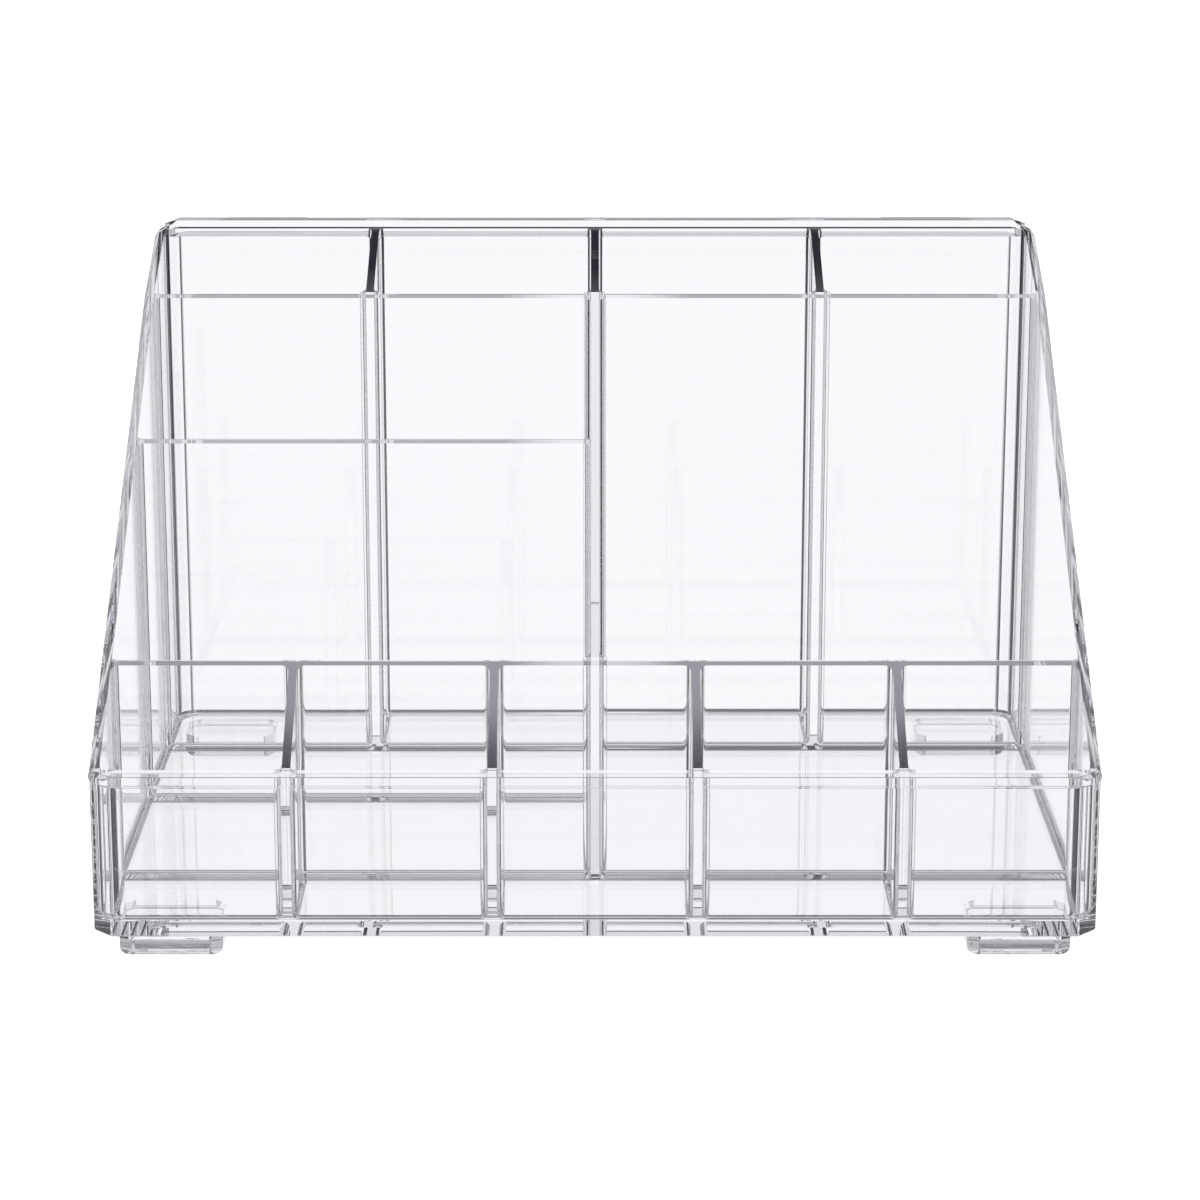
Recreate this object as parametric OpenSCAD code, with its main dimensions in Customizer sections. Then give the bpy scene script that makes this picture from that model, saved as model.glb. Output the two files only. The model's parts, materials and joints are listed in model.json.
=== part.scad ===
// Clear vanity organizer: an open tray of twelve wells under a stepped side line.
// Millimetres, +Z up, the front faces -Y, and the origin is under the middle of the body on the floor
// that the four feet stand on.

/* [Body] */
// Width over the rim
body_w = 300; // [240:1:380]
// Depth over the rim
body_d = 210; // [190:1:280]
// Height of the front edge above the base
front_h = 50; // [40:1:70]
// Height of the shoulder, where the steep side line meets the shallow one
shoulder_h = 162; // [120:1:176]
// Height of the rear edge above the base
rear_h = 181; // [178:1:230]
// Depth of the level stretch at the front of the side line
level_d = 8.5; // [8:0.5:12]
// Leg of the chamfer on the four outer corners, seen from above
chamfer = 6.2; // [4:0.1:7]

/* [Walls] */
// Thickness of the outer walls below the rim
outer_t = 2.8; // [2:0.1:3.6]
// Thickness of the inner walls
inner_t = 2.6; // [1.8:0.1:3.4]
// Thickness of the floor in the wells
floor_t = 4.2; // [3:0.1:6]
// Radius of the coves and upright corners of a well
cove_r = 2.4; // [1.6:0.1:3]
// Radius of a well's corner behind a chamfer
corner_r = 7.5; // [6.5:0.1:9]

/* [Rim] */
// How far the rim stands out from the outer walls
rim_out = 0.4; // [0.2:0.1:1]
// Height of the rim outside
rim_h = 3; // [2:0.1:5]
// Depth of the rim's ledge over the front wells, from the front of the rim
front_ledge_d = 7; // [6.6:0.1:7.6]
// Height of the ledge over the front wells
front_ledge_h = 4.2; // [3:0.1:6]
// Depth of the rim's ledge over the rear wells, from the back of the rim
rear_ledge_d = 6.5; // [6.2:0.1:8]
// Height of the ledge over the rear wells, below the side line
rear_ledge_h = 2.8; // [2:0.1:5]
// How far the level top of the rear rim falls off at its ends
rear_fall = 1; // [0.4:0.1:1.2]

/* [Wells] */
// Clear depth of the front row of wells
front_row_d = 36.8; // [30:0.1:42]
// Clear depth of the front well on the left of the middle row
mid_front_d = 71; // [55:0.5:75]
// Clear depth of the rear row of wells
rear_row_d = 37.8; // [30:0.1:42]
// Number of walls across the front row
front_walls = 4; // [2:1:4]
// Spacing of the walls across the front row
front_pitch = 61; // [50:0.5:62]
// Number of walls across the rear row
rear_walls = 3; // [1:1:3]
// Spacing of the walls across the rear row
rear_pitch = 75; // [55:0.5:78]

/* [Feet] */
// Width of a foot
foot_w = 31; // [20:1:40]
// Depth of a foot
foot_d = 20; // [14:1:26]
// Height of a foot
foot_h = 7.8; // [5:0.1:10]
// Distance from the side of the body to a foot
foot_side = 7.5; // [5:0.5:12]
// Distance from the front or the back of the body to a foot
foot_front = 5; // [4:0.5:12]
// Leg of the chamfer on a foot's upright corners
foot_chamfer = 3.5; // [2:0.1:5]
// Radius of a foot's lower edge
foot_r = 1.5; // [0.5:0.1:2]

/* [Hidden] */
$fn = 64;

// Overrun of a cutting solid past the face that it cuts
over = 1;

// Share of an inset by which a chamfer's leg shortens when its face moves in by that inset
leg_share = 2 - sqrt(2);

// Tint of the clear plastic
clear_tint = [0.88, 0.89, 0.94, 0.45];

// Places across the body
half_w = body_w / 2;
half_d = body_d / 2;
shell_t = rim_out + outer_t;
inner_half_w = half_w - shell_t;
inner_half_d = half_d - shell_t;

// Places of the walls that run from side to side, at the middle of their thickness
front_cross_y = -inner_half_d + front_row_d + inner_t / 2;
shelf_y = front_cross_y + mid_front_d + inner_t;
rear_cross_y = inner_half_d - rear_row_d - inner_t / 2;

// Heights from the floor that the feet stand on
base_z = foot_h;
well_z = base_z + floor_t;
seat_z = well_z + cove_r;
top_z = base_z + rear_h;

// Height of the side line above the base at a place between front and back
function line_h(y) =
  y < -half_d + level_d ? front_h
  : y < rear_cross_y
    ? front_h + (shoulder_h - front_h) * (y + half_d - level_d) / (rear_cross_y + half_d - level_d)
    : shoulder_h + (rear_h - shoulder_h) * (y - rear_cross_y) / (half_d - rear_cross_y);

// Place of wall number i of a row of them, spread evenly about the middle
function row_x(i, count, pitch) = (i - (count + 1) / 2) * pitch;

// Left and right limits of well number i of a row
function well_left(i, count, pitch) = i == 0 ? -inner_half_w : row_x(i, count, pitch) + inner_t / 2;
function well_right(i, count, pitch) = i == count ? inner_half_w : row_x(i + 1, count, pitch) - inner_t / 2;

// All that lies under the side line, or under that line lowered
module under_line(lowered = 0) {
  rotate([90, 0, 90])
    linear_extrude(height = body_w + 2 * over, center = true)
      polygon([
        [-half_d - over, -over],
        [-half_d - over, base_z + front_h - lowered],
        [-half_d + level_d, base_z + front_h - lowered],
        [rear_cross_y, base_z + shoulder_h - lowered],
        [half_d, base_z + rear_h - lowered],
        [half_d + over, base_z + rear_h - lowered],
        [half_d + over, -over]
      ]);
}

// The band of a given height right under the side line
module line_band(h) {
  difference() {
    under_line();
    under_line(h);
  }
}

// Outline of the body seen from above, drawn in by an inset that keeps the chamfers parallel
module outer_plan(inset = 0) {
  w = half_w - inset;
  d = half_d - inset;
  c = chamfer - inset * leg_share;
  polygon([
    [-w + c, -d], [w - c, -d], [w, -d + c], [w, d - c],
    [w - c, d], [-w + c, d], [-w, d - c], [-w, -d + c]
  ]);
}

// Outline of the space inside the outer walls
module inner_plan() {
  square([2 * (inner_half_w - corner_r), 2 * inner_half_d], center = true);
  square([2 * inner_half_w, 2 * (inner_half_d - corner_r)], center = true);
  for (sx = [-1, 1], sy = [-1, 1])
    translate([sx * (inner_half_w - corner_r), sy * (inner_half_d - corner_r)])
      circle(r = corner_r);
}

// An outline drawn up from the base to above the rear edge
module from_base() {
  translate([0, 0, base_z])
    linear_extrude(height = rear_h + over)
      children();
}

// The ledge of the rim over the front wells
module front_ledge() {
  intersection() {
    line_band(front_ledge_h);
    from_base() inner_plan();
    translate([-half_w, -half_d, base_z])
      cube([body_w, front_ledge_d, rear_h + over]);
  }
}

// The ledge of the rim over the rear wells
module rear_ledge() {
  intersection() {
    line_band(rear_ledge_h);
    from_base() inner_plan();
    translate([-half_w, half_d - rear_ledge_d, base_z])
      cube([body_w, rear_ledge_d, rear_h + over]);
  }
}

// The space above a lowered side line between two places along the body
module above_line(lowered, y0, y1) {
  difference() {
    translate([-half_w - over, y0, base_z]) cube([body_w + 2 * over, y1 - y0, rear_h + over]);
    under_line(lowered);
  }
}

// The level top of the rim at the back, which falls off a little behind the outer corners
module rear_cap() {
  intersection() {
    from_base() outer_plan();
    above_line(rear_ledge_h / 2, half_d - rear_ledge_d, half_d);
    translate([0, half_d, 0])
      rotate([90, 0, 0])
        linear_extrude(height = rear_ledge_d)
          polygon([
            [-inner_half_w, base_z], [-inner_half_w, top_z - rear_fall], [-half_w + chamfer, top_z],
            [half_w - chamfer, top_z], [inner_half_w, top_z - rear_fall], [inner_half_w, base_z]
          ]);
  }
}

// The four outer walls with their rim, before they are parted at the mitres
module shell() {
  intersection() {
    under_line();
    from_base() difference() {
      outer_plan(rim_out);
      inner_plan();
    }
  }
  intersection() {
    line_band(rim_h);
    from_base() difference() {
      outer_plan();
      inner_plan();
    }
  }
  front_ledge();
  rear_ledge();
  rear_cap();
}

// The part of the plan that belongs to the wall on the front, between the two mitres there
module front_share() {
  reach = half_w - inner_half_w + corner_r;
  from_base()
    polygon([
      [-half_w - over, -half_d - over], [half_w + over, -half_d - over],
      [half_w - reach, -half_d + reach], [-half_w + reach, -half_d + reach]
    ]);
}

// The part of the plan that belongs to the wall on the left, between the two mitres there
module left_share() {
  reach = half_w - inner_half_w + corner_r;
  from_base()
    polygon([
      [-half_w - over, -half_d - over], [-half_w + reach, -half_d + reach],
      [-half_w + reach, half_d - reach], [-half_w - over, half_d + over]
    ]);
}

module front_wall() {
  color(clear_tint)
    intersection() {
      shell();
      front_share();
    }
}

module back_wall() {
  color(clear_tint)
    intersection() {
      shell();
      mirror([0, 1, 0]) front_share();
    }
}

module left_side_wall() {
  color(clear_tint)
    intersection() {
      shell();
      left_share();
    }
}

module right_side_wall() {
  color(clear_tint) mirror([1, 0, 0]) left_side_wall();
}

// Plan of an inner wall that runs back from y = 0, with both ends flared to what they meet
module web_plan(length) {
  translate([-inner_t / 2, 0]) square([inner_t, length]);
  web_flare();
  translate([0, length]) mirror([0, 1]) web_flare();
}

// Plan of one flared end
module web_flare() {
  difference() {
    translate([-inner_t / 2 - cove_r, 0]) square([inner_t + 2 * cove_r, cove_r]);
    for (s = [-1, 1])
      translate([s * (inner_t / 2 + cove_r), cove_r]) circle(r = cove_r);
  }
}

// An inner wall seen from above at place x, from y0 back to y1, as tall as the whole body
module web(x, y0, y1) {
  translate([x, y0, seat_z])
    linear_extrude(height = top_z - seat_z + over)
      web_plan(y1 - y0);
}

// A wall from side to side between places x0 and x1, level on top and cut back in front to the side line
module cross_web(y, x0, x1) {
  intersection() {
    under_line();
    translate([x0, y, seat_z])
      linear_extrude(height = base_z + line_h(y) - seat_z)
        rotate(-90) web_plan(x1 - x0);
  }
}

module front_cross_wall() {
  color(clear_tint) cross_web(front_cross_y, -inner_half_w, inner_half_w);
}

module rear_cross_wall() {
  color(clear_tint) cross_web(rear_cross_y, -inner_half_w, inner_half_w);
}

module left_shelf_wall() {
  color(clear_tint) cross_web(shelf_y, -inner_half_w, -inner_t / 2);
}

module middle_partition() {
  color(clear_tint)
    intersection() {
      under_line();
      web(0, front_cross_y + inner_t / 2, rear_cross_y - inner_t / 2);
    }
}

// A divider of the front row, notched round the ledge of the rim
module front_divider(i) {
  x = row_x(i, front_walls, front_pitch);
  y1 = front_cross_y - inner_t / 2;
  ledge_y = -half_d + front_ledge_d;
  color(clear_tint) {
    difference() {
      intersection() {
        under_line();
        web(x, -inner_half_d, y1);
      }
      above_line(front_ledge_h, -half_d - over, ledge_y);
    }
    intersection() {
      line_band(front_ledge_h);
      web(x, ledge_y, y1);
    }
  }
}

// A divider of the rear row, notched round the ledge of the rim
module rear_divider(i) {
  x = row_x(i, rear_walls, rear_pitch);
  y0 = rear_cross_y + inner_t / 2;
  ledge_y = half_d - rear_ledge_d;
  color(clear_tint) {
    difference() {
      intersection() {
        under_line();
        web(x, y0, inner_half_d);
      }
      above_line(rear_ledge_h, ledge_y, half_d + over);
    }
    intersection() {
      line_band(rear_ledge_h);
      web(x, y0, ledge_y);
    }
  }
}

// Section of the bottom of a well of a given width, with a cove at each side
module well_section(w) {
  translate([-w / 2, cove_r]) square([w, cove_r]);
  translate([-w / 2 + cove_r, 0]) square([w - 2 * cove_r, 2 * cove_r]);
  for (s = [-1, 1])
    translate([s * (w / 2 - cove_r), cove_r]) circle(r = cove_r);
}

// The round bottom of a well's corner of a given radius, larger than the cove's
module well_corner(r) {
  translate([0, 0, cove_r]) cylinder(r = r, h = cove_r);
  cylinder(r = r - cove_r, h = 2 * cove_r);
  rotate_extrude() translate([r - cove_r, cove_r]) circle(r = cove_r);
}

// The round bottom of a well's corner whose radius is the cove's own
module small_corner() {
  translate([0, 0, cove_r]) sphere(r = cove_r);
  translate([0, 0, cove_r]) cylinder(r = cove_r, h = cove_r);
}

// The bottom of a well between two places across and two places along the body
module well(x0, x1, y0, y1) {
  w = x1 - x0;
  d = y1 - y0;
  translate([(x0 + x1) / 2, (y0 + y1) / 2, well_z]) {
    rotate([90, 0, 90])
      linear_extrude(height = w - 2 * cove_r, center = true) well_section(d);
    rotate([90, 0, 0])
      linear_extrude(height = d - 2 * cove_r, center = true) well_section(w);
    for (sx = [-1, 1], sy = [-1, 1])
      translate([sx * (w / 2 - cove_r), sy * (d / 2 - cove_r), 0]) small_corner();
  }
}

// A row of wells between two places along the body, parted by evenly spread walls
module well_row(count, pitch, y0, y1) {
  for (i = [0 : count])
    well(well_left(i, count, pitch), well_right(i, count, pitch), y0, y1);
}

// The square at each outer corner where the large radius takes the place of the small one
module corner_squares() {
  for (sx = [-1, 1], sy = [-1, 1])
    translate([
      sx * (inner_half_w - corner_r / 2), sy * (inner_half_d - corner_r / 2), well_z + cove_r
    ])
      cube([corner_r, corner_r, 4 * cove_r], center = true);
}

// The large round corners at the bottom of the four outer wells
module corner_rounds() {
  for (sx = [-1, 1], sy = [-1, 1])
    translate([sx * (inner_half_w - corner_r), sy * (inner_half_d - corner_r), well_z])
      well_corner(corner_r);
}

module floor_tray() {
  color(clear_tint)
    difference() {
      translate([0, 0, base_z])
        linear_extrude(height = floor_t + cove_r)
          inner_plan();
      difference() {
        union() {
          well_row(front_walls, front_pitch, -inner_half_d, front_cross_y - inner_t / 2);
          well_row(rear_walls, rear_pitch, rear_cross_y + inner_t / 2, inner_half_d);
          well(-inner_half_w, -inner_t / 2, front_cross_y + inner_t / 2, shelf_y - inner_t / 2);
          well(-inner_half_w, -inner_t / 2, shelf_y + inner_t / 2, rear_cross_y - inner_t / 2);
          well(inner_t / 2, inner_half_w, front_cross_y + inner_t / 2, rear_cross_y - inner_t / 2);
        }
        corner_squares();
      }
      corner_rounds();
    }
}

// Section of a foot of a given width, with its lower edges rounded
module foot_section(w) {
  translate([-w / 2, foot_r]) square([w, foot_h - foot_r]);
  translate([-w / 2 + foot_r, 0]) square([w - 2 * foot_r, foot_h]);
  for (s = [-1, 1])
    translate([s * (w / 2 - foot_r), foot_r]) circle(r = foot_r);
}

// A foot under one corner: sx is 1 on the right and -1 on the left, sy is 1 at the back and -1 in front
module foot(sx, sy) {
  w = foot_w / 2;
  d = foot_d / 2;
  c = foot_chamfer;
  color(clear_tint)
    translate([sx * (half_w - foot_side - w), sy * (half_d - foot_front - d), 0])
      intersection() {
        linear_extrude(height = foot_h)
          polygon([
            [-w + c, -d], [w - c, -d], [w, -d + c], [w, d - c],
            [w - c, d], [-w + c, d], [-w, d - c], [-w, -d + c]
          ]);
        rotate([90, 0, 0]) linear_extrude(height = foot_d, center = true) foot_section(foot_w);
        rotate([90, 0, 90]) linear_extrude(height = foot_w, center = true) foot_section(foot_d);
      }
}

floor_tray();
front_wall();
back_wall();
left_side_wall();
right_side_wall();
front_cross_wall();
rear_cross_wall();
left_shelf_wall();
middle_partition();
front_divider(1);  // front_divider_1
front_divider(2);  // front_divider_2
front_divider(3);  // front_divider_3
front_divider(4);  // front_divider_4
rear_divider(1);  // rear_divider_1
rear_divider(2);  // rear_divider_2
rear_divider(3);  // rear_divider_3
foot(-1, -1);  // foot_front_left
foot(1, -1);  // foot_front_right
foot(-1, 1);  // foot_rear_left
foot(1, 1);  // foot_rear_right
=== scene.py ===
"""Clear vanity organizer: every panel, partition, foot and the floor is dressed as clear moulded plastic.

Units are metres. The front faces -Y, +Z is up, and the origin is under the middle of the body on the floor.
"""

import json
import logging
import math
from dataclasses import dataclass
from enum import Enum
from typing import Callable, Sequence

import bmesh
import bpy
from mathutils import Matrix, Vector

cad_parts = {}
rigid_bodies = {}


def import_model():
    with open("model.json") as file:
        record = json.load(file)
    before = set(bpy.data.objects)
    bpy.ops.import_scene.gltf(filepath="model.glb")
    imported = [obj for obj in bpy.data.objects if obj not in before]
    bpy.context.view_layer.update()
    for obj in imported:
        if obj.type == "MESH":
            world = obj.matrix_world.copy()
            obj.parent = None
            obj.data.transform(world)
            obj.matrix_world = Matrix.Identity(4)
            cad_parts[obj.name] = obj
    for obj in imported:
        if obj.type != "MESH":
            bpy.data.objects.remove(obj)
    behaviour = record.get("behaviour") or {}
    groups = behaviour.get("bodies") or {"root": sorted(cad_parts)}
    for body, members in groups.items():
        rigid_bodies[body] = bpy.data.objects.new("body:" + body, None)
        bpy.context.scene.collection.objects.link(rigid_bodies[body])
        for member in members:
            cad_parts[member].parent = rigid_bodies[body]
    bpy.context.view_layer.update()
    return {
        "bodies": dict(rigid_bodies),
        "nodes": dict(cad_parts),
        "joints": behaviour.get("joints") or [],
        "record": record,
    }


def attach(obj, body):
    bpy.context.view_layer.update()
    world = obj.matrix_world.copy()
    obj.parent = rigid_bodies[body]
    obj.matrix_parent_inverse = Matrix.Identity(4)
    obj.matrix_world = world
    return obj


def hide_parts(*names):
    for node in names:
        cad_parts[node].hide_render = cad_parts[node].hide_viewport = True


log = logging.getLogger("organizer")

MM = 0.001
Point = tuple[float, float, float]
Stops = tuple[tuple[float, float], ...]
FaceTest = Callable[[Vector, Vector], bool]


@dataclass(frozen=True)
class Layout:
    """Sizes of the organizer that its pieces share, in metres."""

    half_w: float = 150.0 * MM
    half_d: float = 105.0 * MM
    inner_half_w: float = 146.8 * MM
    inner_half_d: float = 101.8 * MM
    base_z: float = 7.8 * MM
    seat_z: float = 14.4 * MM
    wall_t: float = 2.6 * MM
    flare_r: float = 2.4 * MM
    front_cross_y: float = -63.7 * MM
    shelf_y: float = 9.9 * MM
    rear_cross_y: float = 62.7 * MM
    level_d: float = 8.5 * MM
    front_h: float = 50.0 * MM
    shoulder_h: float = 162.0 * MM
    rear_h: float = 181.0 * MM
    front_ledge_y: float = -98.0 * MM
    rear_ledge_y: float = 98.5 * MM
    chamfer: float = 6.2 * MM
    front_walls_x: tuple[float, ...] = (-91.5 * MM, -30.5 * MM, 30.5 * MM, 91.5 * MM)
    rear_walls_x: tuple[float, ...] = (-75.0 * MM, 0.0, 75.0 * MM)

    @property
    def flare(self) -> float:
        """Half the width of an inner wall's flared end."""
        return self.wall_t / 2 + self.flare_r

    @property
    def slope_cosines(self) -> tuple[float, float]:
        """Upward shares of the normals of the side line's two slopes."""
        run = self.rear_cross_y + self.half_d - self.level_d
        steep = math.atan2(self.shoulder_h - self.front_h, run)
        shallow = math.atan2(self.rear_h - self.shoulder_h, self.half_d - self.rear_cross_y)
        return math.cos(steep), math.cos(shallow)

    def line_z(self, y: float) -> float:
        """Height of the side line above the floor.

        Args:
            y: Place between the front and the back.

        Returns:
            The height of the top edge of the sides at that place.
        """
        start = -self.half_d + self.level_d
        if y < start:
            return self.base_z + self.front_h
        if y < self.rear_cross_y:
            share = (y - start) / (self.rear_cross_y - start)
            return self.base_z + self.front_h + (self.shoulder_h - self.front_h) * share
        share = (y - self.rear_cross_y) / (self.half_d - self.rear_cross_y)
        return self.base_z + self.shoulder_h + (self.rear_h - self.shoulder_h) * share


LAYOUT = Layout()

# Two lengths that differ by less than this are the same
SNAP = 0.004 * MM
# Corners nearer than this are one corner
HAIR = 0.001 * MM
# Corners that a rounding leaves nearer than this are merged
CRUMB = 0.003 * MM
# Shares of a normal along an axis, from which a face is square to it, dead square, or all but level
SQUARE = 0.99
DEAD_SQUARE = 0.9999
LEVEL = 0.8
# Shares of a normal along the height, under which a face is upright, or leans a little
UPRIGHT = 0.01
LEANING = 0.1
# How far off a share of a slope's normal may be
SLACK = 0.002
# Product of two normals, from which they point the same way
SAME_WAY = 0.98
# Angles between two faces: up to the first they are one, and from the second two flat faces have a sharp edge
FLAT_ANGLE = math.radians(0.5)
FOLD_ANGLE = math.radians(1)
# Edges sharper than the first are rounded, and those sharper than the second aren't shaded smoothly
ROUNDED_ANGLE = math.radians(32)
SHADED_ANGLE = math.radians(33)
# Least widths of a flat face, in the wells and on the outside
FLAT_WIDTH = 0.4 * MM
OUTER_FLAT_WIDTH = 0.7 * MM


class Part(Enum):
    """Record slots that the pieces take their finish from."""

    OUTER = "clear_outer_wall"
    INNER = "clear_inner_wall"
    FLOOR = "clear_floor"
    FOOT = "clear_foot"


# Finishes


class NodeGroups:
    """Shader effects that every clear finish shares, each built once."""

    def __init__(self) -> None:
        """Builds the groups."""
        self.ripple = self._ripple()
        self.haze = self._haze()

    @staticmethod
    def _new(name: str, inputs: Sequence[tuple[str, float]],
             outputs: Sequence[tuple[str, str]]) -> bpy.types.NodeTree:
        """Starts a shader group.

        Args:
            name: Name of the group.
            inputs: Names and default values of its number inputs.
            outputs: Names and socket types of its outputs.

        Returns:
            The group with its input and output nodes.
        """
        group = bpy.data.node_groups.new(name, "ShaderNodeTree")
        for label, value in inputs:
            socket = group.interface.new_socket(label, in_out="INPUT", socket_type="NodeSocketFloat")
            socket.default_value = value
        for label, kind in outputs:
            group.interface.new_socket(label, in_out="OUTPUT", socket_type=kind)
        group.nodes.new("NodeGroupInput").name = "in"
        group.nodes.new("NodeGroupOutput").name = "out"
        return group

    def _ripple(self) -> bpy.types.NodeTree:
        """Makes the long, faint waves that a moulded wall keeps.

        Returns:
            A group with a Height output.
        """
        inputs = [("Wave Scale", 14.0), ("Grain Scale", 90.0), ("Grain Share", 0.08)]
        group = self._new("mould_ripple", inputs, [("Height", "NodeSocketFloat")])
        nodes, links = group.nodes, group.links
        place = nodes.new("ShaderNodeTexCoord")
        waves = nodes.new("ShaderNodeTexNoise")
        waves.inputs["Detail"].default_value = 1.0
        grain = nodes.new("ShaderNodeTexNoise")
        grain.inputs["Detail"].default_value = 2.0
        share = nodes.new("ShaderNodeMath")
        share.operation = "MULTIPLY"
        total = nodes.new("ShaderNodeMath")
        total.operation = "ADD"
        links.new(place.outputs["Object"], waves.inputs["Vector"])
        links.new(place.outputs["Object"], grain.inputs["Vector"])
        links.new(nodes["in"].outputs["Wave Scale"], waves.inputs["Scale"])
        links.new(nodes["in"].outputs["Grain Scale"], grain.inputs["Scale"])
        links.new(grain.outputs["Fac"], share.inputs[0])
        links.new(nodes["in"].outputs["Grain Share"], share.inputs[1])
        links.new(waves.outputs["Fac"], total.inputs[0])
        links.new(share.outputs[0], total.inputs[1])
        links.new(total.outputs[0], nodes["out"].inputs["Height"])
        return group

    def _haze(self) -> bpy.types.NodeTree:
        """Makes the faint patches of handling haze on a clear surface.

        Returns:
            A group with a Roughness output.
        """
        inputs = [("Scale", 26.0), ("Least", 0.0), ("Most", 0.02)]
        group = self._new("handling_haze", inputs, [("Roughness", "NodeSocketFloat")])
        nodes, links = group.nodes, group.links
        place = nodes.new("ShaderNodeTexCoord")
        patches = nodes.new("ShaderNodeTexNoise")
        patches.inputs["Detail"].default_value = 3.0
        spread = nodes.new("ShaderNodeMapRange")
        spread.inputs["From Min"].default_value = 0.45
        spread.inputs["From Max"].default_value = 0.75
        links.new(place.outputs["Object"], patches.inputs["Vector"])
        links.new(nodes["in"].outputs["Scale"], patches.inputs["Scale"])
        links.new(patches.outputs["Fac"], spread.inputs["Value"])
        links.new(nodes["in"].outputs["Least"], spread.inputs["To Min"])
        links.new(nodes["in"].outputs["Most"], spread.inputs["To Max"])
        links.new(spread.outputs[0], nodes["out"].inputs["Roughness"])
        return group


@dataclass(frozen=True)
class ClearPlastic:
    """A clear, hard, glossy moulded plastic with a cool tint in its depth."""

    name: str
    ior: float = 1.49
    depth_tint: tuple[float, float, float] = (0.80, 0.83, 0.88)
    depth_density: float = 1.5
    ripple: float = 0.02
    ripple_depth: float = 0.2 * MM
    haze: float = 0.01

    def material(self, groups: NodeGroups) -> bpy.types.Material:
        """Builds the material.

        Args:
            groups: The shader effects that it shares.

        Returns:
            The finished material.
        """
        material = bpy.data.materials.new(self.name)
        material.use_nodes = True
        nodes, links = material.node_tree.nodes, material.node_tree.links
        shader = nodes["Principled BSDF"]
        shader.inputs["Base Color"].default_value = (1.0, 1.0, 1.0, 1.0)
        shader.inputs["IOR"].default_value = self.ior
        shader.inputs["Transmission Weight"].default_value = 1.0
        shader.inputs["Metallic"].default_value = 0.0

        haze = nodes.new("ShaderNodeGroup")
        haze.node_tree = groups.haze
        haze.inputs["Most"].default_value = self.haze
        links.new(haze.outputs["Roughness"], shader.inputs["Roughness"])

        ripple = nodes.new("ShaderNodeGroup")
        ripple.node_tree = groups.ripple
        bump = nodes.new("ShaderNodeBump")
        bump.inputs["Strength"].default_value = self.ripple
        bump.inputs["Distance"].default_value = self.ripple_depth
        links.new(ripple.outputs["Height"], bump.inputs["Height"])
        links.new(bump.outputs["Normal"], shader.inputs["Normal"])

        exposed = nodes.new("ShaderNodeAttribute")
        exposed.attribute_name = "exposed"
        links.new(exposed.outputs["Fac"], shader.inputs["Alpha"])

        depth = nodes.new("ShaderNodeVolumeAbsorption")
        depth.inputs["Color"].default_value = (*self.depth_tint, 1.0)
        depth.inputs["Density"].default_value = self.depth_density
        links.new(depth.outputs["Volume"], nodes["Material Output"].inputs["Volume"])
        return material


# Modelling by hand


def deselect_all() -> None:
    """Leaves nothing selected."""
    bpy.ops.object.select_all(action="DESELECT")


def activate(piece: bpy.types.Object) -> None:
    """Selects one piece alone and makes it active."""
    deselect_all()
    piece.select_set(True)
    bpy.context.view_layer.objects.active = piece


def select_faces(piece: bpy.types.Object, test: FaceTest) -> int:
    """Selects faces of a piece in edit mode by their place and normal.

    Args:
        piece: The piece, already in edit mode.
        test: Says of a face's centre and normal whether it is selected.

    Returns:
        The number of faces selected.
    """
    bpy.ops.mesh.select_mode(type="FACE")
    mesh = bmesh.from_edit_mesh(piece.data)
    for face in mesh.faces:
        face.select_set(test(face.calc_center_median(), face.normal))
    mesh.select_flush_mode()
    bmesh.update_edit_mesh(piece.data)
    return sum(face.select for face in mesh.faces)


def cut_faces(piece: bpy.types.Object, test: FaceTest, point: Point, normal: Point) -> None:
    """Scores a line across some faces of a piece, where a plane meets them.

    Args:
        piece: The piece, already in edit mode.
        test: Says which faces are cut.
        point: A point of the plane.
        normal: The plane's normal.
    """
    if select_faces(piece, test):
        bpy.ops.mesh.bisect(plane_co=point, plane_no=normal, threshold=SNAP)


def copy_of_node(frame: dict, node: str, name: str) -> bpy.types.Object:
    """Starts a piece from the outline of its CAD node, with merged corners and whole flat faces.

    Args:
        node: Name of the CAD node.
        name: Name of the new piece.

    Returns:
        The new piece.
    """
    source = frame["nodes"][node]
    mesh = source.data.copy()
    mesh.name = name
    mesh.materials.clear()
    piece = bpy.data.objects.new(name, mesh)
    bpy.context.scene.collection.objects.link(piece)
    activate(piece)
    bpy.ops.object.mode_set(mode="EDIT")
    bpy.ops.mesh.select_all(action="SELECT")
    bpy.ops.mesh.remove_doubles(threshold=HAIR)
    bpy.ops.mesh.customdata_custom_splitnormals_clear()
    bpy.ops.mesh.dissolve_limited(angle_limit=FLAT_ANGLE)
    bpy.ops.object.mode_set(mode="OBJECT")
    return piece


def near(value: float, target: float) -> bool:
    """Says whether two lengths are the same."""
    return abs(value - target) < SNAP


def mark_joints(piece: bpy.types.Object, joined: FaceTest) -> int:
    """Marks the bonded faces of a piece, which don't show.

    Args:
        piece: The piece, in edit mode.
        joined: Says which faces are bonded to a neighbour.

    Returns:
        The number of bonded faces.
    """
    mesh = bmesh.from_edit_mesh(piece.data)
    layer = mesh.faces.layers.float.new("exposed")
    for face in mesh.faces:
        face[layer] = 0.0 if joined(face.calc_center_median(), face.normal) else 1.0
    bmesh.update_edit_mesh(piece.data)
    return sum(face[layer] < 0.5 for face in mesh.faces)


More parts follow.
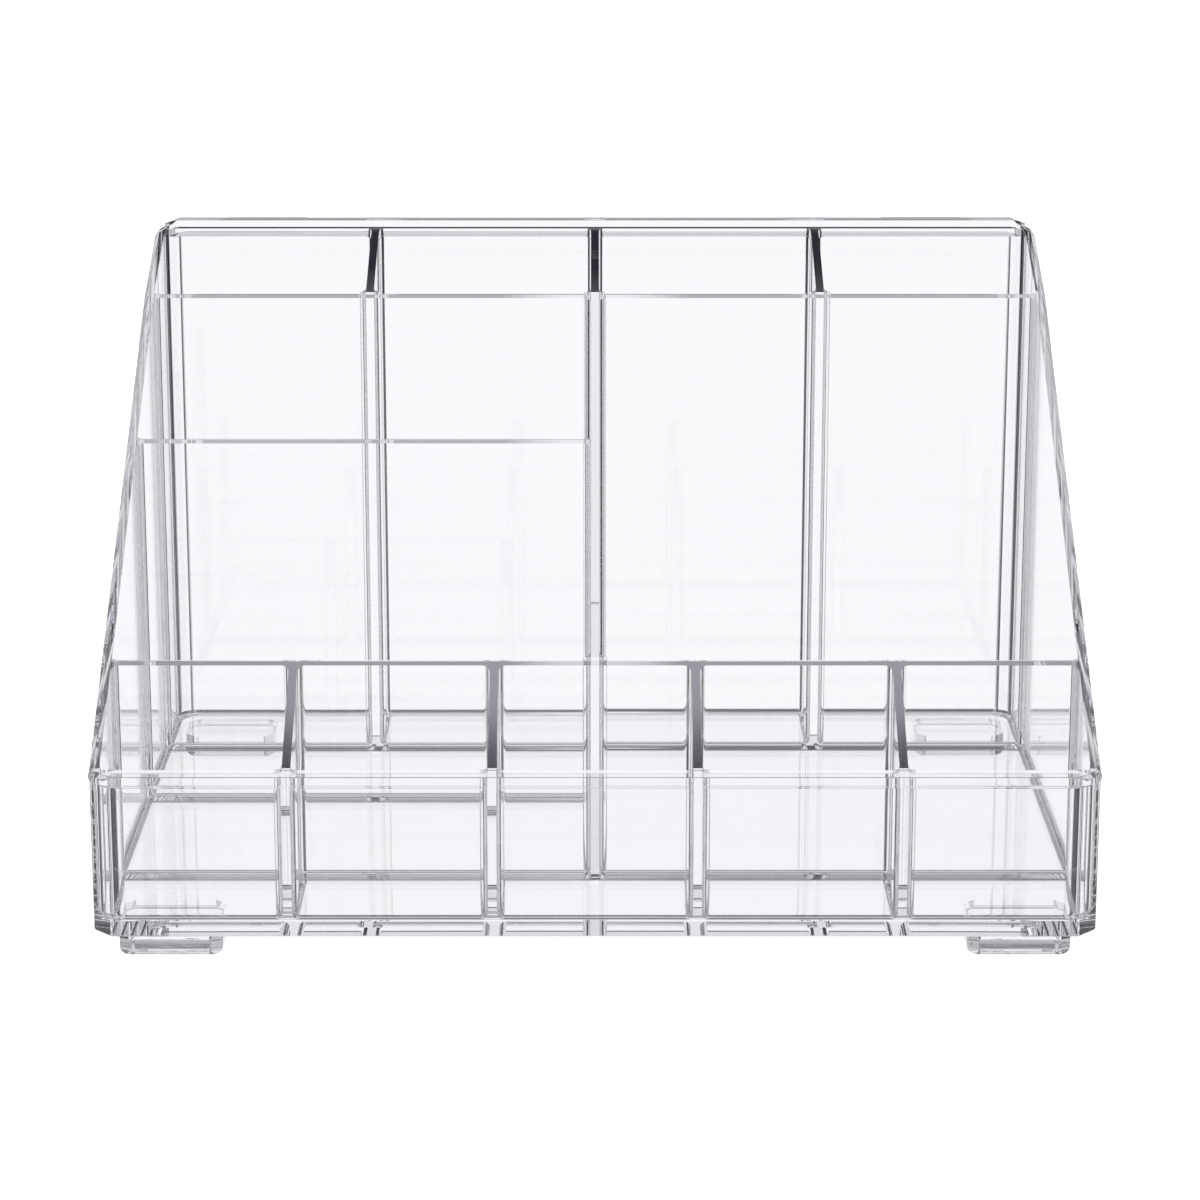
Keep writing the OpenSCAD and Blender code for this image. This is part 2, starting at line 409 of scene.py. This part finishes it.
def merge_at(piece: bpy.types.Object, spot: Point, reach: float) -> None:
    """Draws the corners of a piece that lie near a spot together into it.

    Args:
        piece: The piece, in edit mode.
        spot: Where the corners go.
        reach: How near they lie.
    """
    bpy.ops.mesh.select_mode(type="VERT")
    bpy.ops.mesh.select_all(action="DESELECT")
    mesh = bmesh.from_edit_mesh(piece.data)
    for vert in mesh.verts:
        vert.select_set((vert.co - Vector(spot)).length < reach)
    bmesh.update_edit_mesh(piece.data)
    if any(vert.select for vert in mesh.verts):
        bpy.context.scene.cursor.location = spot
        bpy.ops.mesh.merge(type="CURSOR")


def select_edges(piece: bpy.types.Object, test: Callable[[Vector], bool]) -> bool:
    """Selects the sharp edges of a piece that aren't along a bonded face and pass a test.

    Args:
        piece: The piece, in edit mode.
        test: Says of an edge's middle whether it is selected.

    Returns:
        Whether there are any.
    """
    bpy.ops.mesh.select_mode(type="EDGE")
    bpy.ops.mesh.select_all(action="DESELECT")
    mesh = bmesh.from_edit_mesh(piece.data)
    layer = mesh.faces.layers.float["exposed"]
    for edge in mesh.edges:
        sharp = len(edge.link_faces) == 2 and edge.calc_face_angle(0.0) > ROUNDED_ANGLE
        exposed = all(face[layer] > 0.5 for face in edge.link_faces)
        edge.select_set(sharp and exposed and test((edge.verts[0].co + edge.verts[1].co) / 2))
    bmesh.update_edit_mesh(piece.data)
    return any(edge.select for edge in mesh.edges)


def round_edges(width: float, segments: int) -> None:
    """Rounds the selected edges.

    Args:
        width: How far from the edge the rounding starts.
        segments: Number of facets; one makes a plain chamfer.
    """
    bpy.ops.mesh.bevel(offset=width, offset_type="OFFSET", segments=segments, profile=0.5,
                       affect="EDGES", clamp_overlap=True)


def close_small_gaps(piece: bpy.types.Object) -> None:
    """Merges what the roundings left closer than a hair."""
    bpy.ops.mesh.select_all(action="SELECT")
    bpy.ops.mesh.remove_doubles(threshold=CRUMB)
    bpy.ops.mesh.dissolve_degenerate(threshold=HAIR)


def draw_back_joints(piece: bpy.types.Object, gap: float = 0.01 * MM, speck: float = 0.05 * MM) -> None:
    """Draws the bonded faces of a piece back a hair, so that they never lie in a neighbour's face.

    Args:
        piece: The piece, in edit mode.
        gap: How far a bonded face is drawn back.
        speck: Side of the smallest square whose face counts.
    """
    mesh = bmesh.from_edit_mesh(piece.data)
    layer = mesh.faces.layers.float["exposed"]
    shifts: dict[bmesh.types.BMVert, list[Vector]] = {}
    for face in mesh.faces:
        if face[layer] > 0.5 or face.calc_area() < speck ** 2:
            continue
        for vert in face.verts:
            normals = shifts.setdefault(vert, [])
            if all(face.normal.dot(known) < SAME_WAY for known in normals):
                normals.append(face.normal.copy())
    for vert, normals in shifts.items():
        vert.co -= sum(normals, Vector()) * gap
    bmesh.update_edit_mesh(piece.data)


def is_flat(face: bmesh.types.BMFace) -> bool:
    """Says whether a face is one of the broad flat faces, not a facet of a rounding or a cove."""
    normal = face.normal
    square = max(abs(value) for value in normal) > DEAD_SQUARE
    mitred = abs(normal.z) < SLACK / 2 and abs(abs(normal.x) - abs(normal.y)) < SLACK
    tilts = (abs(abs(normal.z) - cosine) for cosine in LAYOUT.slope_cosines)
    sloped = abs(normal.x) < SLACK and min(tilts) < SLACK
    fallen = normal.z > 0.9 and abs(normal.x) > 0.25
    centre = face.calc_center_median()
    width = 2 * face.calc_area() / max(face.calc_perimeter(), SNAP)
    outside = abs(centre.x) > LAYOUT.inner_half_w + SNAP or abs(centre.y) > LAYOUT.inner_half_d + SNAP
    known = square or mitred or sloped or fallen
    return (known and width > FLAT_WIDTH) or (outside and width > OUTER_FLAT_WIDTH)


def smooth(piece: bpy.types.Object) -> None:
    """Shades the curves of a piece smoothly and keeps its flat faces flat."""
    activate(piece)
    bpy.ops.object.shade_smooth_by_angle(angle=SHADED_ANGLE)
    bpy.ops.object.mode_set(mode="EDIT")
    bpy.ops.mesh.select_mode(type="FACE")
    mesh = bmesh.from_edit_mesh(piece.data)
    for face in mesh.faces:
        face.select_set(is_flat(face))
    bmesh.update_edit_mesh(piece.data)
    bpy.ops.mesh.mod_weighted_strength(set=True, face_strength="STRONG")
    bpy.ops.mesh.select_mode(type="EDGE")
    mesh = bmesh.from_edit_mesh(piece.data)
    for edge in mesh.edges:
        flat = len(edge.link_faces) == 2 and all(is_flat(face) for face in edge.link_faces)
        edge.select_set(flat and edge.calc_face_angle(0.0) > FOLD_ANGLE)
    bmesh.update_edit_mesh(piece.data)
    bpy.ops.mesh.mark_sharp()
    bpy.ops.object.mode_set(mode="OBJECT")
    weights = piece.modifiers.new("flat_faces", "WEIGHTED_NORMAL")
    weights.mode = "FACE_AREA"
    weights.weight = 100
    weights.keep_sharp = True
    weights.use_face_influence = True
    bpy.ops.object.modifier_apply(modifier=weights.name)


# Sub-assemblies


@dataclass
class ClearPiece:
    """One clear solid of the organizer, started from its CAD node."""

    node: str
    part: Part
    edge: float = 0.5 * MM
    fine_edge: float = 0.18 * MM

    def cut(self, piece: bpy.types.Object) -> None:
        """Scores the outlines of neighbours' ends on this piece's faces."""

    def joined(self, centre: Vector, normal: Vector) -> bool:
        """Says whether a face is bonded to a neighbour."""
        return False

    def fine(self, middle: Vector) -> bool:
        """Says whether an edge is near a small step."""
        return False

    def soften(self, piece: bpy.types.Object) -> None:
        """Rounds the edges, those near small steps finely."""
        if select_edges(piece, self.fine):
            round_edges(self.fine_edge, 3)
        if select_edges(piece, lambda middle: not self.fine(middle)):
            round_edges(self.edge, 3)
        close_small_gaps(piece)

    def build(self, frame: dict, material: bpy.types.Material) -> bpy.types.Object:
        """Models and dresses the piece.

        Args:
            material: The finish.

        Returns:
            The finished piece.
        """
        piece = copy_of_node(frame, self.node, f"clear_{self.node}")
        activate(piece)
        bpy.ops.object.mode_set(mode="EDIT")
        self.cut(piece)
        bonded = mark_joints(piece, self.joined)
        self.soften(piece)
        draw_back_joints(piece)
        bpy.ops.object.mode_set(mode="OBJECT")
        smooth(piece)
        piece.data.materials.append(material)
        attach(piece, "root")
        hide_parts(self.node)
        log.info("%s: %d faces, %d of them bonded", piece.name, len(piece.data.polygons), bonded)
        return piece


@dataclass
class OuterWall(ClearPiece):
    """One of the four outer walls with its share of the rim and ledge, parted at the mitres."""

    part: Part = Part.OUTER
    rim_bevel: float = 1.4 * MM
    rim_h: float = 4.6 * MM
    top_reach: float = 1.6 * MM
    step_reach: float = 0.5 * MM

    def outer_top(self, middle: Vector) -> bool:
        """Says whether an edge is the outer one along the top of a side or a corner."""
        drop = LAYOUT.line_z(middle.y) - middle.z
        corner = near(abs(middle.x) + abs(middle.y), LAYOUT.half_w + LAYOUT.half_d - LAYOUT.chamfer)
        return abs(drop) < self.top_reach and (near(abs(middle.x), LAYOUT.half_w) or corner)

    def soften(self, piece: bpy.types.Object) -> None:
        """Bevels the outer edge along the top broadly, then rounds the edges."""
        if select_edges(piece, self.outer_top):
            round_edges(self.rim_bevel, 1)
        super().soften(piece)

    def on_inside(self, centre: Vector) -> bool:
        """Says whether a place is on or within the inside of the outer walls."""
        return abs(centre.x) < LAYOUT.inner_half_w + SNAP and abs(centre.y) < LAYOUT.inner_half_d + SNAP

    def beside_wells(self, centre: Vector, normal: Vector) -> bool:
        """Says whether a face stands on the inside of the outer walls."""
        return abs(normal.z) < LEANING and self.on_inside(centre)

    def cut(self, piece: bpy.types.Object) -> None:
        """Closes hair-wide steps at the ends of the rear rim's level top, and scores the floor's top."""
        outer, inner = LAYOUT.chamfer / 2, LAYOUT.half_d - LAYOUT.rear_ledge_y
        steps = ((outer, LAYOUT.line_z(LAYOUT.half_d - outer)), (inner, LAYOUT.line_z(LAYOUT.half_d)))
        for s in (-1.0, 1.0):
            for inset, height in steps:
                spot = (s * (LAYOUT.half_w - inset), LAYOUT.half_d - inset, height)
                merge_at(piece, spot, self.step_reach)
        cut_faces(piece, self.beside_wells, (0.0, 0.0, LAYOUT.seat_z), (0.0, 0.0, 1.0))

    def mitre(self, centre: Vector, normal: Vector) -> bool:
        """Says whether a face is the mitre between two outer walls."""
        return (abs(normal.z) < UPRIGHT and abs(abs(normal.x) - abs(normal.y)) < UPRIGHT
                and normal.x * normal.y * centre.x * centre.y < 0)

    def joined(self, centre: Vector, normal: Vector) -> bool:
        """Says whether a face is a mitre or lies against the floor."""
        below = centre.z < LAYOUT.seat_z and self.beside_wells(centre, normal)
        inward = normal.x * centre.x < HAIR and normal.y * centre.y < HAIR
        return self.mitre(centre, normal) or (below and inward)

    def fine(self, middle: Vector) -> bool:
        """Says whether an edge is on the rim."""
        return abs(LAYOUT.line_z(middle.y) - middle.z) < self.rim_h


@dataclass
class EndWall(OuterWall):
    """The front wall or the back wall, which the dividers of its row meet."""

    side: float = -1.0
    walls_x: tuple[float, ...] = LAYOUT.front_walls_x
    ledge_y: float = LAYOUT.front_ledge_y

    def on_face(self, centre: Vector, normal: Vector) -> bool:
        """Says whether a face is the flat inside of the wall."""
        return near(centre.y, self.side * LAYOUT.inner_half_d) and abs(normal.y) > SQUARE

    def on_ledge_face(self, centre: Vector, normal: Vector) -> bool:
        """Says whether a face is the upright face of the ledge."""
        return near(centre.y, self.ledge_y) and abs(normal.y) > SQUARE

    def under_ledge(self, centre: Vector, normal: Vector) -> bool:
        """Says whether a face is the underside of the ledge."""
        high = centre.z > LAYOUT.base_z + LAYOUT.front_h / 2
        return high and normal.z < -LEVEL and self.on_inside(centre)

    def cut(self, piece: bpy.types.Object) -> None:
        """Scores the floor's top and the dividers' ends with their tops."""
        super().cut(piece)
        for x in self.walls_x:
            for reach, test in ((LAYOUT.flare, self.on_face), (LAYOUT.flare, self.on_ledge_face),
                                (LAYOUT.wall_t / 2, self.under_ledge)):
                for s in (-1.0, 1.0):
                    cut_faces(piece, test, (x + s * reach, 0.0, 0.0), (1.0, 0.0, 0.0))
            cut_faces(piece, lambda c, n, x=x: self.on_ledge_face(c, n) and abs(c.x - x) < LAYOUT.flare,
                      (0.0, 0.0, LAYOUT.line_z(self.ledge_y)), (0.0, 0.0, 1.0))

    def joined(self, centre: Vector, normal: Vector) -> bool:
        """Says whether a face is bonded to the floor, a divider or a side wall."""
        if super().joined(centre, normal):
            return True
        offset = min(abs(centre.x - x) for x in self.walls_x)
        if self.under_ledge(centre, normal):
            return offset < LAYOUT.wall_t / 2
        on_ledge = self.on_ledge_face(centre, normal) and centre.z < LAYOUT.line_z(self.ledge_y)
        return offset < LAYOUT.flare and (self.on_face(centre, normal) or on_ledge)


@dataclass
class SideWall(OuterWall):
    """The left or the right side wall, which the cross walls meet."""

    side: float = -1.0
    walls_y: tuple[float, ...] = (LAYOUT.front_cross_y, LAYOUT.rear_cross_y)

    def on_face(self, centre: Vector, normal: Vector) -> bool:
        """Says whether a face is the flat inside of the wall."""
        return near(centre.x, self.side * LAYOUT.inner_half_w) and abs(normal.x) > SQUARE

    def cut(self, piece: bpy.types.Object) -> None:
        """Scores the floor's top and the cross walls' ends with their tops."""
        super().cut(piece)
        for y in self.walls_y:
            for s in (-1.0, 1.0):
                cut_faces(piece, self.on_face, (0.0, y + s * LAYOUT.flare, 0.0), (0.0, 1.0, 0.0))
            cut_faces(piece, lambda c, n, y=y: self.on_face(c, n) and abs(c.y - y) < LAYOUT.flare,
                      (0.0, 0.0, LAYOUT.line_z(y)), (0.0, 0.0, 1.0))

    def joined(self, centre: Vector, normal: Vector) -> bool:
        """Says whether a face is bonded to the floor, a cross wall or an end wall."""
        if super().joined(centre, normal):
            return True
        return self.on_face(centre, normal) and any(
            abs(centre.y - y) < LAYOUT.flare and centre.z < LAYOUT.line_z(y) for y in self.walls_y)


@dataclass
class CrossWall(ClearPiece):
    """A wall that runs from side to side, with a level top."""

    part: Part = Part.INNER
    y: float = 0.0
    low_x: float = -LAYOUT.inner_half_w
    high_x: float = LAYOUT.inner_half_w
    front_x: tuple[float, ...] = ()
    rear_x: tuple[float, ...] = ()

    def on_front(self, centre: Vector, normal: Vector) -> bool:
        """Says whether a face is the flat front."""
        return near(centre.y, self.y - LAYOUT.wall_t / 2) and normal.y < -SQUARE

    def on_rear(self, centre: Vector, normal: Vector) -> bool:
        """Says whether a face is the flat rear."""
        return near(centre.y, self.y + LAYOUT.wall_t / 2) and normal.y > SQUARE

    def cut(self, piece: bpy.types.Object) -> None:
        """Scores the flared ends of the walls that meet it."""
        for places, test in ((self.front_x, self.on_front), (self.rear_x, self.on_rear)):
            for x in places:
                for s in (-1.0, 1.0):
                    cut_faces(piece, test, (x + s * LAYOUT.flare, 0.0, 0.0), (1.0, 0.0, 0.0))

    def joined(self, centre: Vector, normal: Vector) -> bool:
        """Says whether a face is an end, the bottom, or a place where another wall meets it."""
        if abs(normal.x) > SQUARE and (near(centre.x, self.low_x) or near(centre.x, self.high_x)):
            return True
        if normal.z < -SQUARE and near(centre.z, LAYOUT.seat_z):
            return True
        for places, test in ((self.front_x, self.on_front), (self.rear_x, self.on_rear)):
            if test(centre, normal) and any(abs(centre.x - x) < LAYOUT.flare for x in places):
                return True
        return False


@dataclass
class Divider(ClearPiece):
    """A wall that runs from front to back, with its top along the side line."""

    part: Part = Part.INNER
    x: float = 0.0
    low_y: float = 0.0
    high_y: float = 0.0
    shelf: bool = False
    ledge_y: float | None = None

    def on_left(self, centre: Vector, normal: Vector) -> bool:
        """Says whether a face is the flat left side."""
        return near(centre.x, self.x - LAYOUT.wall_t / 2) and normal.x < -SQUARE

    def at_shelf(self, centre: Vector, normal: Vector) -> bool:
        """Says whether a face is in the strip of the left side that the shelf wall's end meets."""
        return self.on_left(centre, normal) and abs(centre.y - LAYOUT.shelf_y) < LAYOUT.flare

    def on_low_end(self, centre: Vector, normal: Vector) -> bool:
        """Says whether a face is the end nearer the front."""
        return near(centre.y, self.low_y) and normal.y < -SQUARE

    def cut(self, piece: bpy.types.Object) -> None:
        """Scores the top of the wall before it, the shelf wall's end and the notch under the ledge."""
        right, up = (1.0, 0.0, 0.0), (0.0, 0.0, 1.0)
        if self.low_y > -LAYOUT.inner_half_d + MM:
            height = LAYOUT.line_z(self.low_y - LAYOUT.wall_t / 2)
            cut_faces(piece, self.on_low_end, (0.0, 0.0, height), up)
        if self.shelf:
            for s in (-1.0, 1.0):
                edge = LAYOUT.shelf_y + s * LAYOUT.flare
                cut_faces(piece, self.on_left, (0.0, edge, 0.0), (0.0, 1.0, 0.0))
            cut_faces(piece, self.at_shelf, (0.0, 0.0, LAYOUT.line_z(LAYOUT.shelf_y)), up)
        if self.ledge_y is not None:
            for s in (-1.0, 1.0):
                cut_faces(piece, self.under_ledge, (self.x + s * LAYOUT.wall_t / 2, 0.0, 0.0), right)

    def under_ledge(self, centre: Vector, normal: Vector) -> bool:
        """Says whether a face is the notch's top, under the rim's ledge."""
        beyond = (centre.y - self.ledge_y) * (1.0 if self.ledge_y > 0 else -1.0) > 0
        return beyond and normal.z > LEVEL

    def joined(self, centre: Vector, normal: Vector) -> bool:
        """Says whether a face is bonded to a wall, the rim's ledge or the floor."""
        if normal.z < -SQUARE and near(centre.z, LAYOUT.seat_z):
            return True
        if self.on_low_end(centre, normal):
            return (self.low_y < -LAYOUT.inner_half_d + MM
                    or centre.z < LAYOUT.line_z(self.low_y - LAYOUT.wall_t / 2))
        if near(centre.y, self.high_y) and normal.y > SQUARE:
            return True
        if self.ledge_y is not None:
            if near(centre.y, self.ledge_y) and abs(normal.y) > SQUARE:
                return True
            if self.under_ledge(centre, normal):
                return abs(centre.x - self.x) < LAYOUT.wall_t / 2
        return self.shelf and self.at_shelf(centre, normal) and centre.z < LAYOUT.line_z(LAYOUT.shelf_y)


@dataclass
class FloorTray(ClearPiece):
    """The floor with the coved bottoms of the wells."""

    part: Part = Part.FLOOR
    corner_reach: float = 7.5 * MM

    def joined(self, centre: Vector, normal: Vector) -> bool:
        """Says whether a face is bonded to an outer wall or an inner wall."""
        if normal.z > SQUARE and near(centre.z, LAYOUT.seat_z):
            return True
        if abs(normal.z) > UPRIGHT:
            return False
        outward = normal.x * centre.x > -SNAP and normal.y * centre.y > -SNAP
        across, along = abs(centre.x), abs(centre.y)
        flat = near(across, LAYOUT.inner_half_w) or near(along, LAYOUT.inner_half_d)
        in_corner = min(across - LAYOUT.inner_half_w, along - LAYOUT.inner_half_d) > -self.corner_reach
        return outward and (flat or in_corner)


@dataclass
class Foot(ClearPiece):
    """A low block foot, set dry under a corner of the floor, which still mirrors above it."""

    part: Part = Part.FOOT
    air: float = 0.02 * MM

    def cut(self, piece: bpy.types.Object) -> None:
        """Leaves a film of air over the top."""
        if select_faces(piece, lambda c, n: n.z > SQUARE and near(c.z, LAYOUT.base_z)):
            bpy.ops.transform.translate(value=(0.0, 0.0, -self.air))

    def soften(self, piece: bpy.types.Object) -> None:
        """Rounds the edges below the top."""
        if select_edges(piece, lambda middle: middle.z < LAYOUT.base_z - MM):
            round_edges(self.edge, 3)
        close_small_gaps(piece)


def organizer_pieces() -> list[ClearPiece]:
    """Lists the pieces of the organizer.

    Returns:
        The pieces in the order in which they are built.
    """
    half_t = LAYOUT.wall_t / 2
    front_y = (-LAYOUT.inner_half_d, LAYOUT.front_cross_y - half_t)
    rear_y = (LAYOUT.rear_cross_y + half_t, LAYOUT.inner_half_d)
    pieces: list[ClearPiece] = [
        FloorTray("floor_tray"),
        EndWall("front_wall"),
        EndWall("back_wall", side=1.0, walls_x=LAYOUT.rear_walls_x, ledge_y=LAYOUT.rear_ledge_y),
        SideWall("left_side_wall", walls_y=(LAYOUT.front_cross_y, LAYOUT.shelf_y, LAYOUT.rear_cross_y)),
        SideWall("right_side_wall", side=1.0),
        CrossWall("front_cross_wall", y=LAYOUT.front_cross_y, front_x=LAYOUT.front_walls_x, rear_x=(0.0,)),
        CrossWall("rear_cross_wall", y=LAYOUT.rear_cross_y, front_x=(0.0,), rear_x=LAYOUT.rear_walls_x),
        CrossWall("left_shelf_wall", y=LAYOUT.shelf_y, high_x=-half_t),
        Divider("middle_partition", shelf=True, low_y=LAYOUT.front_cross_y + half_t,
                high_y=LAYOUT.rear_cross_y - half_t),
    ]
    for i, x in enumerate(LAYOUT.front_walls_x, 1):
        pieces.append(Divider(f"front_divider_{i}", x=x, low_y=front_y[0], high_y=front_y[1],
                              ledge_y=LAYOUT.front_ledge_y))
    for i, x in enumerate(LAYOUT.rear_walls_x, 1):
        pieces.append(Divider(f"rear_divider_{i}", x=x, low_y=rear_y[0], high_y=rear_y[1],
                              ledge_y=LAYOUT.rear_ledge_y))
    for place in ("front_left", "front_right", "rear_left", "rear_right"):
        pieces.append(Foot(f"foot_{place}"))
    return pieces


# Studio


@dataclass
class Studio:
    """The pale floor, the soft surroundings and the camera."""

    camera_place: Point = (0.0, -1.0852, 0.3906)
    camera_tilt: float = 76.48
    lens: float = 105.3
    shift: tuple[float, float] = (0.0042, -0.12)
    # Height angle in degrees and brightness of the surroundings, as the clear plastic sees them
    around: Stops = (
        (-90.0, 0.15), (-71.0, 0.15), (-67.0, 0.9), (-54.0, 0.9), (-53.0, 0.1), (-50.0, 0.1),
        (-48.0, 0.8), (-22.0, 1.0), (20.0, 1.0), (27.0, 0.55), (90.0, 0.5))
    behind: Stops = (
        (-90.0, 0.03), (-70.0, 0.03), (-67.0, 0.93), (-53.8, 0.93), (-53.4, 0.03), (-51.0, 0.03),
        (-50.0, 0.35), (-47.0, 0.45), (-42.0, 0.46), (-38.0, 0.03), (-27.0, 0.03), (-24.0, 0.975),
        (8.0, 0.975), (11.0, 0.78), (29.0, 0.78), (30.0, 0.68), (33.0, 0.68), (35.0, 0.02),
        (70.0, 0.02), (90.0, 0.05))
    # The same, straight behind
    middle: Stops = (
        (-90.0, 0.03), (-70.0, 0.03), (-67.0, 0.93), (-53.8, 0.93), (-53.4, 0.03), (-51.0, 0.03),
        (-49.0, 0.7), (-48.0, 0.93), (-42.0, 0.93), (-38.0, 0.03), (-27.0, 0.03), (-24.0, 0.975),
        (8.0, 0.975), (11.0, 0.78), (29.0, 0.78), (30.0, 0.68), (33.0, 0.68), (35.0, 0.02),
        (45.0, 0.02), (47.0, 0.9), (50.0, 0.9), (53.0, 0.02), (90.0, 0.05))
    beside: Stops = (
        (-90.0, 0.03), (-70.0, 0.03), (-66.0, 0.7), (-58.0, 0.6), (-55.0, 0.02), (-50.0, 0.02),
        (-48.0, 0.8), (-43.0, 0.8), (-41.0, 0.02), (60.0, 0.02), (90.0, 0.3))
    # Degrees to either side of straight behind, and how far each set of heights counts there
    middle_reach: Stops = ((0.0, 1.0), (1.0, 1.0), (2.0, 0.0), (180.0, 0.0))
    behind_reach: Stops = ((0.0, 1.0), (13.0, 1.0), (18.0, 0.0), (180.0, 0.0))
    beside_reach: Stops = (
        (0.0, 0.0), (15.0, 0.0), (18.0, 1.0), (30.0, 1.0), (34.0, 0.1), (55.0, 0.1), (59.0, 1.0),
        (77.0, 1.0), (81.0, 0.05), (97.0, 0.05), (101.0, 0.8), (116.0, 0.8), (123.0, 0.0), (180.0, 0.0))
    # For red, green and blue, the power that a brightness is raised to and what it is multiplied by
    cool_powers: tuple[float, float, float] = (1.08, 1.1, 1.0)
    cool_tint: tuple[float, float, float] = (0.975, 0.975, 1.0)
    bounces: int = 48

    def camera(self) -> None:
        """Places the camera at the photographed angle."""
        data = bpy.data.cameras.new("camera")
        data.lens = self.lens
        data.sensor_width = 36.0
        data.shift_x, data.shift_y = self.shift
        data.clip_start = 0.01
        data.clip_end = 100.0
        camera = bpy.data.objects.new("camera", data)
        camera.location = self.camera_place
        camera.rotation_euler = (math.radians(self.camera_tilt), 0.0, 0.0)
        bpy.context.scene.collection.objects.link(camera)
        bpy.context.scene.camera = camera

    def floor(self) -> None:
        """Lays the plain pale floor."""
        deselect_all()
        bpy.ops.mesh.primitive_plane_add(size=12.0, location=(0.0, 0.0, -0.0005))
        floor = bpy.context.active_object
        floor.name = "pale_floor"
        material = bpy.data.materials.new("pale_floor")
        material.use_nodes = True
        shader = material.node_tree.nodes["Principled BSDF"]
        shader.inputs["Base Color"].default_value = (0.9, 0.9, 0.9, 1.0)
        shader.inputs["Roughness"].default_value = 0.9
        shader.inputs["Emission Color"].default_value = (1.0, 1.0, 1.0, 1.0)
        shader.inputs["Emission Strength"].default_value = 1.0
        floor.data.materials.append(material)
        floor.visible_transmission = False
        floor.visible_glossy = False
        floor.visible_diffuse = False
        floor.visible_shadow = False

    @staticmethod
    def ramp(angle: bpy.types.NodeSocket, operation: str, values: Stops,
             powers: Sequence[float] = (1.0, 1.0, 1.0),
             tints: Sequence[float] = (1.0, 1.0, 1.0)) -> bpy.types.NodeSocket:
        """Makes a ramp of brightness, or of a share, over an angle.

        Args:
            angle: The sine or cosine of the angle.
            operation: The function that gives the angle, ARCSINE or ARCCOSINE.
            values: Angles in degrees, each with its brightness or share.
            powers: For red, green and blue, the power that the brightness is raised to.
            tints: For red, green and blue, what it is then multiplied by.

        Returns:
            The ramp's colour.
        """
        tree = angle.node.id_data
        turn = tree.nodes.new("ShaderNodeMath")
        turn.operation = operation
        share = tree.nodes.new("ShaderNodeMapRange")
        share.inputs["From Min"].default_value = math.radians(values[0][0])
        share.inputs["From Max"].default_value = math.radians(values[-1][0])
        ramp = tree.nodes.new("ShaderNodeValToRGB")
        stops = ramp.color_ramp.elements
        for _ in range(len(values) - 2):
            stops.new(0.5)
        span = values[-1][0] - values[0][0]
        for stop, (degrees, value) in zip(stops, values):
            stop.position = (degrees - values[0][0]) / span
            stop.color = (*(value ** power * tint for power, tint in zip(powers, tints)), 1.0)
        tree.links.new(angle, turn.inputs[0])
        tree.links.new(turn.outputs[0], share.inputs["Value"])
        tree.links.new(share.outputs[0], ramp.inputs["Fac"])
        return ramp.outputs["Color"]

    @staticmethod
    def mixed(first: bpy.types.NodeSocket, second: bpy.types.NodeSocket,
              factor: bpy.types.NodeSocket) -> bpy.types.NodeSocket:
        """Mixes two colours.

        Args:
            first: The colour where the factor is 0.
            second: The colour where the factor is 1.
            factor: Share of the second colour.

        Returns:
            The mixed colour.
        """
        tree = first.node.id_data
        mix = tree.nodes.new("ShaderNodeMix")
        mix.data_type = "RGBA"
        for source, socket in ((first, "A"), (second, "B"), (factor, "Factor")):
            tree.links.new(source, mix.inputs[socket])
        return mix.outputs["Result"]

    def light(self) -> None:
        """Surrounds the organizer with soft white light that has dark patches low behind and beside it."""
        world = bpy.data.worlds.new("studio")
        bpy.context.scene.world = world
        world.use_nodes = True
        nodes, links = world.node_tree.nodes, world.node_tree.links
        place = nodes.new("ShaderNodeTexCoord")
        split = nodes.new("ShaderNodeSeparateXYZ")
        flat = nodes.new("ShaderNodeCombineXYZ")
        unit = nodes.new("ShaderNodeVectorMath")
        unit.operation = "NORMALIZE"
        turned = nodes.new("ShaderNodeSeparateXYZ")
        links.new(place.outputs["Generated"], split.inputs[0])
        links.new(split.outputs["X"], flat.inputs["X"])
        links.new(split.outputs["Y"], flat.inputs["Y"])
        links.new(flat.outputs[0], unit.inputs[0])
        links.new(unit.outputs[0], turned.inputs[0])

        height, side = split.outputs["Z"], turned.outputs["Y"]
        cool = self.cool_powers, self.cool_tint
        seen = self.ramp(height, "ARCSINE", self.around, *cool)
        for values, reach in ((self.beside, self.beside_reach), (self.behind, self.behind_reach),
                              (self.middle, self.middle_reach)):
            patch = self.ramp(height, "ARCSINE", values, *cool)
            seen = self.mixed(seen, patch, self.ramp(side, "ARCCOSINE", reach))

        white = nodes.new("ShaderNodeRGB")
        white.outputs[0].default_value = (1.0, 1.0, 1.0, 1.0)
        path = nodes.new("ShaderNodeLightPath")
        backdrop = self.mixed(seen, white.outputs[0], path.outputs["Is Camera Ray"])
        links.new(backdrop, nodes["Background"].inputs["Color"])

    def set_up(self) -> None:
        """Prepares the camera, the floor, the light and how the picture is developed."""
        scene = bpy.context.scene
        self.camera()
        self.floor()
        self.light()
        scene.view_settings.view_transform = "Standard"
        scene.cycles.max_bounces = self.bounces
        scene.cycles.transmission_bounces = self.bounces
        scene.cycles.glossy_bounces = self.bounces
        scene.cycles.transparent_max_bounces = 2 * self.bounces
        scene.cycles.volume_bounces = 0
        scene.cycles.caustics_reflective = True
        scene.cycles.caustics_refractive = True


def main() -> None:
    """Builds the organizer piece by piece in its studio."""
    logging.basicConfig(level=logging.INFO, format="%(name)s %(message)s")
    for stray in list(bpy.data.objects):
        bpy.data.objects.remove(stray)
    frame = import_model()
    groups = NodeGroups()
    finishes = {part: ClearPlastic(part.value).material(groups) for part in Part}
    for piece in organizer_pieces():
        piece.build(frame, finishes[piece.part])
    Studio().set_up()


if __name__ == "__main__":
    main()
